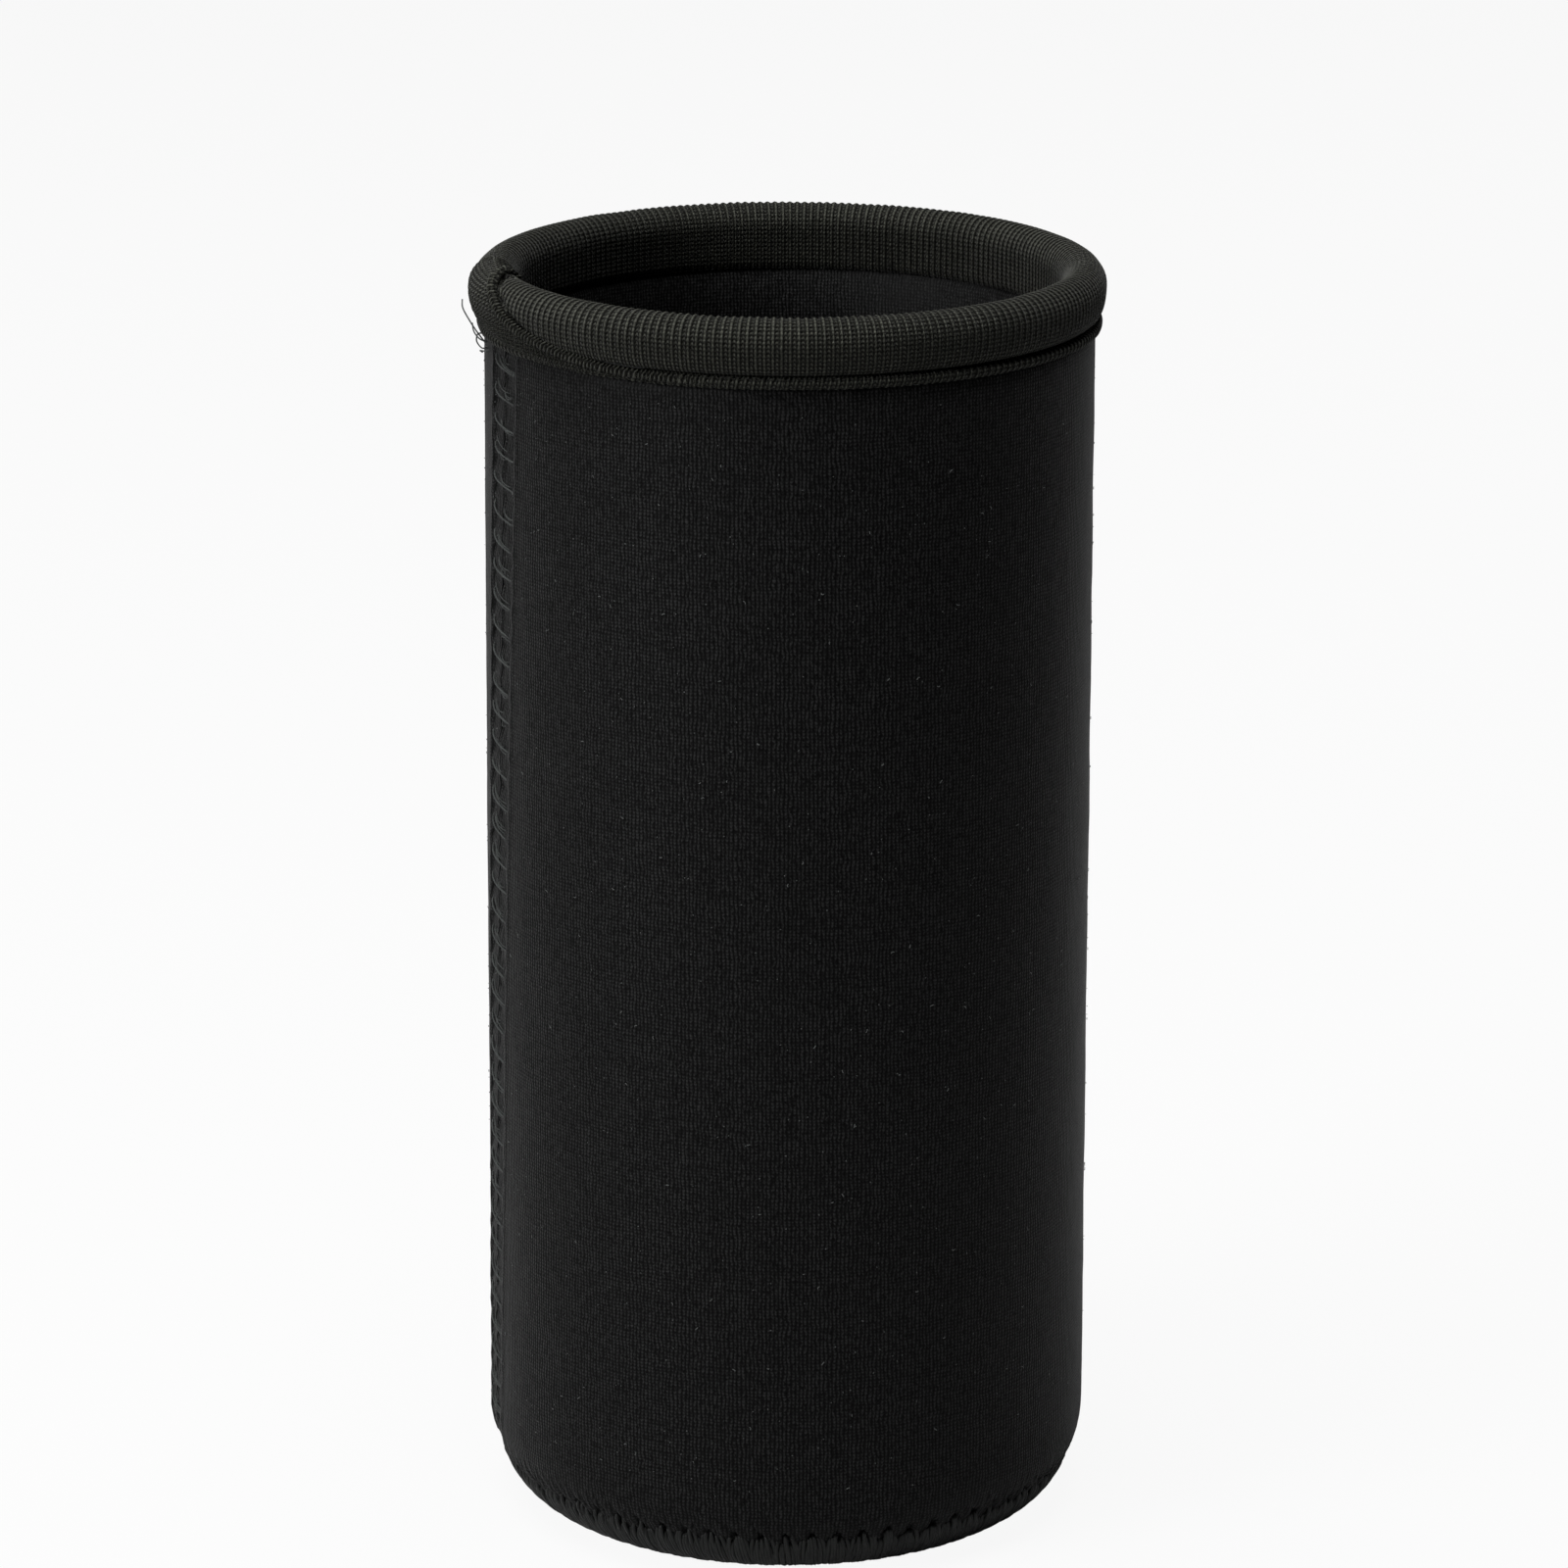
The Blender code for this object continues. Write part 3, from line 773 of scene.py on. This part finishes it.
# The lapped end's free edge, from the lip up over the crest and down inside: degrees, height, radius in mm.
FREE_EDGE_FOOT = 72
FREE_EDGE = (
    (100, 129.95, 31.7), (88, 130.0, 32.0), (FREE_EDGE_FOOT, 130.0, 32.2), (62, 130.1, 32.35),
    (54.8, 130.35, 32.5), (50.8, 130.6, 32.6), (46.5, 130.9, 32.7), (40.6, 131.5, 32.9),
    (34.1, 132.25, 33.1), (28.7, 133.3, 33.3), (25.9, 134.2, 33.3), (22.0, 135.4, 32.95),
    (19.5, 136.1, 32.3), (17.2, 136.5, 31.4), (16, 136.6, 30.4), (16, 136.2, 29.4), (16, 135.2, 28.75),
    (16, 133.7, 28.45), (16, 132.0, 28.5), (16, 130.4, 28.6), (16, 129.7, 29.0),
)


def free_edge_angle(height):
    """Where round the rim the lapped end's free edge is, at a height on the tape's outside."""
    route = [(z * MM, math.radians(degrees)) for degrees, z, _ in FREE_EDGE if degrees <= FREE_EDGE_FOOT]
    if height <= route[0][0]:
        return route[0][1]
    for (z, angle), (next_z, next_angle) in zip(route, route[1:]):
        if height <= next_z:
            return angle + (next_angle - angle) * (height - z) / (next_z - z)
    return route[-1][1]


class CANCOOLER_OT_tape_end(bpy.types.Operator):
    """Make the tape's lapped end at the side seam, with its rolled free edge."""

    bl_idname = "can_cooler.tape_end"
    bl_label = "Lapped Tape End"
    bl_options = {"REGISTER", "UNDO"}

    columns: count_prop("Columns", "Faces from the free edge to the back", 320)
    outer_points: count_prop("Outer Points", "Points of its section's outside", 30)

    def execute(self, context):
        sleeve, tape = context.scene.sleeve_sizes, context.scene.tape_sizes
        low, high = self.lines(sleeve, tape)
        profile = [(*point, 1 if i < self.outer_points else 0) for i, point in enumerate(high)]
        bm = turn_profile(profile, self.columns, 0.0, 1.0, closed=True)
        station = bm.verts.layers.float["station"]
        crest = roll_point(tape, sleeve, 90)[0]
        for vert in bm.verts:
            back, index = angle_of(vert.co), round(vert[station])
            edge = free_edge_angle(high[index][1] if high[index][0] > crest else tape.rim_height)
            radius, height = self.raised(low[index], high[index], back)
            vert.co = at_angle(radius, edge + (tape.lap_back - edge) * back, height)
        bmesh.ops.recalc_face_normals(bm, faces=bm.faces)
        raise_ribs(bm, tape, count_ribs(bm, tape), rumple=0.14 * MM)
        material = bpy.data.materials["ribbed_knit_tape"]
        end = add_piece(context, "tape_end", mesh_of(bm, "tape_end"), material, "knit_tape")
        self.add_rolled_edge(context, tape, material)
        return {"FINISHED"}

    def lines(self, sleeve, tape):
        """The lapped end's section where it has sunk into the tape, and where it stands proud of it."""
        centre = roll_point(tape, sleeve, 90)[0], tape.rim_height - tape.roll_half_height
        lip, well = lip_foot(tape), sleeve.well_radius
        bend, crown, skirt = 7, 11, 8
        low = [(well + 0.15 * MM, lip + rise * MM) for rise in (0.1, 1.4, 2.7)]
        sunk = spread(176, 104, bend) + spread(96, 0, crown) + spread(-7, -60, skirt - 4)
        low += [roll_point(tape, sleeve, angle, 0.15 * MM) for angle in sunk]
        low += [(tape.lip_radius - 0.25 * MM, z) for z in spread(lip + 1.1 * MM, lip + 0.4 * MM, 4)]
        low += [(tape.lip_radius - 0.7 * MM, lip + 0.2 * MM)]
        high = [(well - 0.25 * MM, lip + rise * MM) for rise in (0, 1.4, 2.7)]
        for degrees in spread(176, 104, bend) + spread(96, 0, crown) + spread(-7, -52, skirt - 1):
            turn = math.radians(degrees)
            width = tape.roll_half_width + (tape.lap_proud if degrees < 90 else 0.25 * MM)
            depth = tape.roll_half_height + LAP_CREST_RISE if degrees > 0 else 5.2 * MM
            high.append((centre[0] + width * math.cos(turn), centre[1] + depth * math.sin(turn)))
        high += [(tape.lip_radius - 0.1 * MM, lip), (31.9 * MM, lip + 0.15 * MM)]
        inset = 0.5 * MM
        hidden = [roll_point(tape, sleeve, angle, inset) for angle in (-40, 0, 30, 60, 90, 120, 150)]
        return low + hidden, high + hidden

    def raised(self, low, high, back):
        """A section point at a share of the way back from the free edge."""
        full = math.sin(QUARTER * min(1.0, 0.5 + 1.8 * back)) * (1 - smooth_step((back - 0.22) / 0.4))
        return tuple(Vector(low).lerp(Vector(high), full))

    def add_rolled_edge(self, context, tape, material):
        """The free edge, rolled under to a thin rope that grows out of the lip."""
        core = new_strands("tape_rolled_edge", tape.fold_radius)
        core.bevel_resolution = 5
        line = eased(route_points(FREE_EDGE), EDGE_RING_STEP)
        lay_strand(core, line)
        bm = bmesh.new()
        bm.from_mesh(mesh_of_strands(context, core))
        along = bm.verts.layers.float.new("along")
        ribs = bm.verts.layers.float.new("rib_count")
        sides = len(bm.verts) // len(line)
        bm.normal_update()
        for i, vert in enumerate(bm.verts):
            ring, side = divmod(i, sides)
            middle = line[min(ring, len(line) - 1)]
            turn = side / sides
            vert[along] = turn * 5 * BEAD_PITCH
            vert[ribs] = ring * EDGE_RING_STEP / tape.bead_length + turn
            thick = 0.4 + 0.6 * smooth_step((middle.xy.length - 29.4 * MM) / (1.2 * MM))
            tooth = 0.09 * MM * math.cos(2 * math.tau * vert[ribs])
            vert.co = middle + (vert.co - middle) * thick + vert.normal * tooth
        mesh = mesh_of(bm, "tape_rolled_edge")
        edge = add_piece(context, "tape_rolled_edge", mesh, material, "knit_tape")


# Slack fibres over the groove: degrees, height, radius in mm.
GROOVE_FLOATS = (
    ((27.0, 133.2, 31.9), (28.5, 132.9, 32.5), (34.7, 132.5, 32.8), (39.5, 132.1, 32.8), (41, 131.9, 32.2)),
    ((53.5, 131.1, 31.7), (54.8, 131, 32.4), (58.7, 130.9, 32.5), (62.7, 130.85, 32.4), (64, 130.9, 31.7)),
)
# One side stitch: how far across the seam, share of its slant, height off the pressed cloth in mm.
SIDE_STITCH = (
    (-1, 0, -0.7), (-0.99, 0.1, 0.02), (-0.88, 0.42, 0.24), (-0.5, 0.66, 0.32), (-0.1, 0.78, 0.32),
    (0.4, 0.9, 0.22), (0.9, 1.0, 0.06), (1, 1.04, -0.6),
)


class CANCOOLER_OT_stitches(bpy.types.Operator):
    """Sew the side seam, the foot and the tape with plied thread."""

    bl_idname = "can_cooler.stitches"
    bl_label = "Stitches"
    bl_options = {"REGISTER", "UNDO"}

    ply_radius: length_prop("Ply Radius", "Radius of one ply of the thread", 0.062 * MM)
    twist: length_prop("Twist", "Length in which the plies go once round", 0.9 * MM)
    step: length_prop("Step", "Distance between the thread's points", 0.28 * MM)
    woolly_threads: count_prop("Woolly Threads", "Threads side by side in a foot stitch", 9)
    woolly_radius: length_prop("Woolly Radius", "Radius of a thread in a foot stitch", 0.25 * MM)

    def execute(self, context):
        sleeve, tape = context.scene.sleeve_sizes, context.scene.tape_sizes
        colours = context.scene.cloth_colours
        material = thread_material("grey_black_thread", colours.thread, colours.thread_shade)
        woolly = thread_material("woolly_foot_thread", colours.foot_thread, colours.tape_shade)
        dice = random.Random(7)
        sides = [self.side_line(sleeve, tape, dice, False), self.side_line(sleeve, tape, dice, True)]
        floss = list(self.floss_lines(sleeve, tape, dice))
        self.sew(context, "side_seam_stitches", sides, floss, material, "side_seam_thread")
        foot = new_strands("foot_seam_stitches", self.woolly_radius)
        for line in self.foot_lines(sleeve, dice):
            lay_strand(foot, line)
        mesh = mesh_of_strands(context, foot)
        add_piece(context, "foot_seam_stitches", mesh, woolly, "thread", "foot_seam_thread")
        grooved, floats = self.groove_lines(sleeve, tape), list(self.groove_floats())
        self.sew(context, "binding_stitches", grooved, floats, woolly, "binding_thread")
        return {"FINISHED"}

    def sew(self, context, name, lines, floss, material, node):
        """Lay two-ply thread along lines, and single thin fibres along floss, as one piece."""
        thread = new_strands(name, self.ply_radius)
        for line in lines:
            lay_plies(thread, line, self.ply_radius * 0.85, 2, self.twist)
        fibres = new_strands(name + "_floss", self.ply_radius * 0.75)
        for line in floss:
            lay_strand(fibres, line)
        add_piece(context, name, mesh_of_strands(context, thread, fibres), material, "thread", node)

    def side_point(self, sleeve, tape, across, height, lift, inside=False):
        """A point on a side stitch: across is -1 to 1 over the seam, and lift is from the pressed cloth."""
        angle = seam_angle(sleeve, tape, height) + across * sleeve.seam_half_width / sleeve.foot_radius
        radius = wall_radius(sleeve, tape, height) - sleeve.stitch_press + lift
        if inside:
            radius += sleeve.flare - (sleeve.foot_radius - sleeve.well_radius) - 2 * lift + 0.2 * MM
        return at_angle(radius, angle, height)

    def side_starts(self, sleeve, tape):
        """Heights at which the side stitches start."""
        top, foot = lip_foot(tape) - 0.8 * MM, sleeve.foot_rise - 1.5 * MM
        return [top - i * sleeve.stitch_pitch for i in range(int((top - foot) / sleeve.stitch_pitch))]

    def side_line(self, sleeve, tape, dice, inside):
        """The zigzag over the side seam, on the wall's outside or inside."""
        points = []
        for start in self.side_starts(sleeve, tape):
            start += dice.uniform(-0.15, 0.15) * MM
            width, depth = dice.uniform(0.93, 1.04), dice.uniform(0.85, 1.15)
            for across, drop, lift in SIDE_STITCH:
                height = start - sleeve.stitch_slant * drop * depth
                points.append(self.side_point(sleeve, tape, across * width, height, lift * MM, inside))
        return eased(points, self.step)

    def floss_lines(self, sleeve, tape, dice):
        """Single fibres that have come loose beside the side stitches."""
        for start in self.side_starts(sleeve, tape):
            for _ in range(dice.randint(2, 4)):
                top = start + dice.uniform(-0.5, 0.6) * MM
                begin, end = dice.uniform(-0.95, 0.2), dice.uniform(0.3, 1.05)
                sag = dice.uniform(0.2, 1.1)
                points = []
                for share in spread(0, 1, 5):
                    drop = (begin + (end - begin) * share + 1) / 2
                    height = top - sleeve.stitch_slant * (drop + sag * share * (1 - share))
                    lift = (0.02 + 0.9 * share * (1 - share)) * MM
                    points.append(self.side_point(sleeve, tape, begin + (end - begin) * share, height, lift))
                yield eased(points, self.step)

    def foot_lines(self, sleeve, dice):
        """The overcast stitches: woolly threads that fan out from each bite, over the foot's edge."""
        bite = bite_turn(sleeve)
        pitch = math.tau / sleeve.foot_stitches
        lines = []
        for i in range(sleeve.foot_stitches):
            middle = (i + dice.uniform(-0.07, 0.07)) * pitch
            lean = (0.22 + dice.uniform(-0.08, 0.08)) * pitch
            for across in spread(-1, 1, self.woolly_threads):
                across += dice.uniform(-0.06, 0.06)
                crown = 0.12 - 0.09 * across * across + dice.uniform(-0.015, 0.015)
                top = dice.uniform(-0.02, 0.14) + 0.05 * abs(across)
                over = ((top, -0.4, 0.7), (top + 0.08, crown - 0.14, 0.9), (0.36, crown, 1.02))
                over += ((0.6, crown, 1.05), (0.85, crown, 1.08), (1, crown - 0.05, 1.08))
                points = []
                for share, more, wide in over:
                    lift = more * MM - sleeve.stitch_press
                    spot = foot_point(sleeve, bite + (QUARTER - bite) * share, lift)
                    angle = middle + lean * max(0.0, share) + across * wide * 0.5 * pitch
                    points.append(at_angle(spot[0], angle, spot[1]))
                under = sleeve.foot_lift + sleeve.stitch_press
                points.append(at_angle(DISC_HIGH[0] - 1.0 * MM, angle, under - 0.12 * MM))
                points.append(at_angle(DISC_HIGH[0] - 1.5 * MM, angle, under + 0.5 * MM))
                lines.append(eased(points, 0.45 * MM))
        return lines

    def groove_lines(self, sleeve, tape):
        """Short stitches deep in the groove between the tape's roll and its lip."""
        radius, height = 32.0 * MM, lip_foot(tape) + 1.22 * MM
        start, end = math.radians(FREE_EDGE_FOOT), math.tau + tape.lap_back
        count = round((end - start) * radius / (2.4 * MM))
        pitch = (end - start) / count
        lines = []
        for i in range(count):
            angle = start + i * pitch
            dips = ((0, -0.7), (0.12, -0.5), (0.5, -0.45), (0.8, -0.5), (0.92, -0.7))
            points = [at_angle(radius + dip * MM, angle + share * pitch, height) for share, dip in dips]
            lines.append(eased(points, self.step))
        return lines

    def groove_floats(self):
        """Slack fibres of the tape's thread that bridge the groove at the front left."""
        for route in GROOVE_FLOATS:
            yield eased(route_points(route), self.step)


# Loose ends on the left: degrees, height over the lip's foot and radius in mm.
THREAD_ENDS = (
    ((8, -1.2, 32.0), (7, 0.0, 32.9), (4, 0.9, 33.6), (1, 1.7, 34.2), (-2, 2.2, 34.35)),
    ((10, -0.9, 32.0), (9, -0.6, 32.7), (6, -0.2, 33.1), (3, 0.3, 33.2)),
    ((9, -1.6, 31.9), (10, -1.5, 32.5), (8, -1.0, 32.9), (6, -0.5, 32.7), (7, -0.3, 32.4)),
    ((13, -1.4, 31.9), (12, -1.6, 32.4), (9, -1.9, 32.6), (8, -2.2, 32.3)),
)


class CANCOOLER_OT_loose_fibres(bpy.types.Operator):
    """Add the loose thread ends under the lapped tape, and stray lint on the cloth."""

    bl_idname = "can_cooler.loose_fibres"
    bl_label = "Loose Fibres"
    bl_options = {"REGISTER", "UNDO"}

    count: count_prop("Count", "Lint fibres on the cloth", 1700)
    fibre_radius: length_prop("Fibre Radius", "Radius of a lint fibre", 0.036 * MM)

    def execute(self, context):
        sleeve, tape = context.scene.sleeve_sizes, context.scene.tape_sizes
        colours = context.scene.cloth_colours
        ends = new_strands("loose_thread_ends", 0.08 * MM)
        for line in self.thread_ends(tape):
            lay_strand(ends, line)
        thread = bpy.data.materials["grey_black_thread"]
        add_piece(context, "loose_thread_ends", mesh_of_strands(context, ends), thread, "thread")
        lint = new_strands("lint", self.fibre_radius)
        lint.bevel_resolution = 0
        dice = random.Random(23)
        for _ in range(self.count):
            lay_strand(lint, self.lint_line(sleeve, tape, dice))
        pale = thread_material("pale_lint", colours.lint, colours.thread)
        add_piece(context, "lint", mesh_of_strands(context, lint), pale, "thread")
        return {"FINISHED"}

    def thread_ends(self, tape):
        """A few thread ends that stick out under the lapped end, on the left."""
        for route in THREAD_ENDS:
            yield eased(route_points(route, lip_foot(tape)), 0.2 * MM)

    def lint_line(self, sleeve, tape, dice):
        """One short curled fibre that lies on the wall's cloth."""
        height = dice.uniform(sleeve.foot_rise, lip_foot(tape) - 2 * MM)
        angle = dice.uniform(0, math.tau)
        length = dice.uniform(0.08, 0.14) * MM * dice.choice((1, 1, 1, 1, 3))
        heading, bend = dice.uniform(0, math.tau), dice.uniform(-2.5, 2.5)
        points = []
        for share in spread(0, 1, 4):
            turn = heading + bend * share
            height += length / 3 * math.sin(turn)
            angle += length / 3 * math.cos(turn) / sleeve.foot_radius
            points.append(at_angle(wall_radius(sleeve, tape, height) + 0.06 * MM, angle, height))
        return eased(points, 0.12 * MM)


# Each lamp's setting, its place and its width in metres.
LAMPS = (
    ("key", (-0.8, -0.55, 0.5), 0.5),
    ("left", (-0.7, 0.7, 0.4), 0.4),
    ("right", (0.59, 0.81, 0.4), 0.4),
    ("top", (-0.1, -0.1, 0.95), 0.7),
)


class CANCOOLER_OT_stage(bpy.types.Operator):
    """Set the pale floor, the soft studio light and the camera."""

    bl_idname = "can_cooler.stage"
    bl_label = "Studio Stage"
    bl_options = {"REGISTER", "UNDO"}

    def execute(self, context):
        view = context.scene.stage_view
        self.add_floor(context)
        self.light_world(context, view)
        middle = Vector((0, 0, CAD_BOX[1][2] / 2))
        for name, place, size in LAMPS:
            self.add_lamp(context, name + "_lamp", place, middle, size, getattr(view, name))
        self.add_camera(context, view)
        context.scene.view_settings.view_transform = "Standard"
        return {"FINISHED"}

    def add_floor(self, context):
        bm = bmesh.new()
        bmesh.ops.create_grid(bm, x_segments=8, y_segments=8, size=3)
        floor = bpy.data.objects.new("floor", mesh_of(bm, "floor"))
        context.scene.collection.objects.link(floor)
        material = bpy.data.materials.new("pale_floor")
        material.use_nodes = True
        shader = Shader(material.node_tree)
        colour = (*context.scene.cloth_colours.floor, 1)
        matt = shader.add("ShaderNodeBsdfDiffuse", values={"Color": colour})
        glow = shader.add("ShaderNodeEmission", values={"Color": (1, 1, 1, 1), "Strength": 1.0})
        seen = shader.add("ShaderNodeLightPath", output="Is Camera Ray")
        shader.end(shader.add("ShaderNodeMixShader", values={0: seen * 0.92, 1: matt, 2: glow}))
        floor.data.materials.append(material)

    def light_world(self, context, view):
        world = context.scene.world or bpy.data.worlds.new("studio")
        context.scene.world = world
        world.use_nodes = True
        shader = Shader(world.node_tree)
        lit = shader.add("ShaderNodeBackground", values={"Color": (1, 1, 1, 1), "Strength": view.world})
        plain = shader.add("ShaderNodeBackground", values={"Color": (1, 1, 1, 1), "Strength": 1.0})
        seen = shader.add("ShaderNodeLightPath", output="Is Camera Ray")
        both = shader.add("ShaderNodeMixShader", values={0: seen, 1: lit, 2: plain})
        shader.add("ShaderNodeOutputWorld", values={"Surface": both})

    def add_lamp(self, context, name, place, target, size, power):
        lamp = bpy.data.lights.new(name, "AREA")
        lamp.shape, lamp.size, lamp.energy = "DISK", size, power
        obj = bpy.data.objects.new(name, lamp)
        obj.location = place
        obj.rotation_euler = (target - Vector(place)).to_track_quat("-Z", "Y").to_euler()
        context.scene.collection.objects.link(obj)

    def add_camera(self, context, view):
        camera = bpy.data.cameras.new("photo_view")
        camera.lens, camera.sensor_width = view.lens, 36
        camera.clip_start, camera.clip_end = 0.01, 20
        obj = bpy.data.objects.new("photo_view", camera)
        tilt = Matrix.Rotation(QUARTER - view.pitch, 4, "X") @ Matrix.Rotation(view.roll, 4, "Z")
        obj.matrix_world = Matrix.Translation((view.aside, -view.back, view.up)) @ tilt
        context.scene.collection.objects.link(obj)
        context.scene.camera = obj


class CANCOOLER_PT_panel(bpy.types.Panel):
    """The can cooler's sizes, colours and pieces."""

    bl_idname = "CANCOOLER_PT_panel"
    bl_label = "Can Cooler"
    bl_space_type = "VIEW_3D"
    bl_region_type = "UI"
    bl_category = "Can Cooler"

    def draw(self, context):
        scene = context.scene
        for group in (scene.sleeve_sizes, scene.tape_sizes, scene.cloth_colours, scene.stage_view):
            column = self.layout.column(align=True)
            for name in group.__annotations__:
                column.prop(group, name)
        for operator in OPERATORS:
            self.layout.operator(operator.bl_idname)


GROUPS = {
    "sleeve_sizes": SleeveSizes,
    "tape_sizes": TapeSizes,
    "cloth_colours": ClothColours,
    "stage_view": StageView,
}
OPERATORS = (
    CANCOOLER_OT_stage,
    CANCOOLER_OT_sleeve,
    CANCOOLER_OT_base,
    CANCOOLER_OT_tape,
    CANCOOLER_OT_tape_end,
    CANCOOLER_OT_stitches,
    CANCOOLER_OT_loose_fibres,
)
CLASSES = (*GROUPS.values(), *OPERATORS, CANCOOLER_PT_panel)


def register():
    for kind in CLASSES:
        bpy.utils.register_class(kind)
    for name, group in GROUPS.items():
        setattr(bpy.types.Scene, name, bpy.props.PointerProperty(type=group))


def unregister():
    for name in GROUPS:
        delattr(bpy.types.Scene, name)
    for kind in reversed(CLASSES):
        bpy.utils.unregister_class(kind)


def main():
    register()
    bpy.ops.can_cooler.stage()
    bpy.ops.can_cooler.sleeve()
    bpy.ops.can_cooler.base()
    bpy.ops.can_cooler.tape()
    bpy.ops.can_cooler.tape_end()
    bpy.ops.can_cooler.stitches()
    bpy.ops.can_cooler.loose_fibres()


if __name__ == "__main__":
    main()
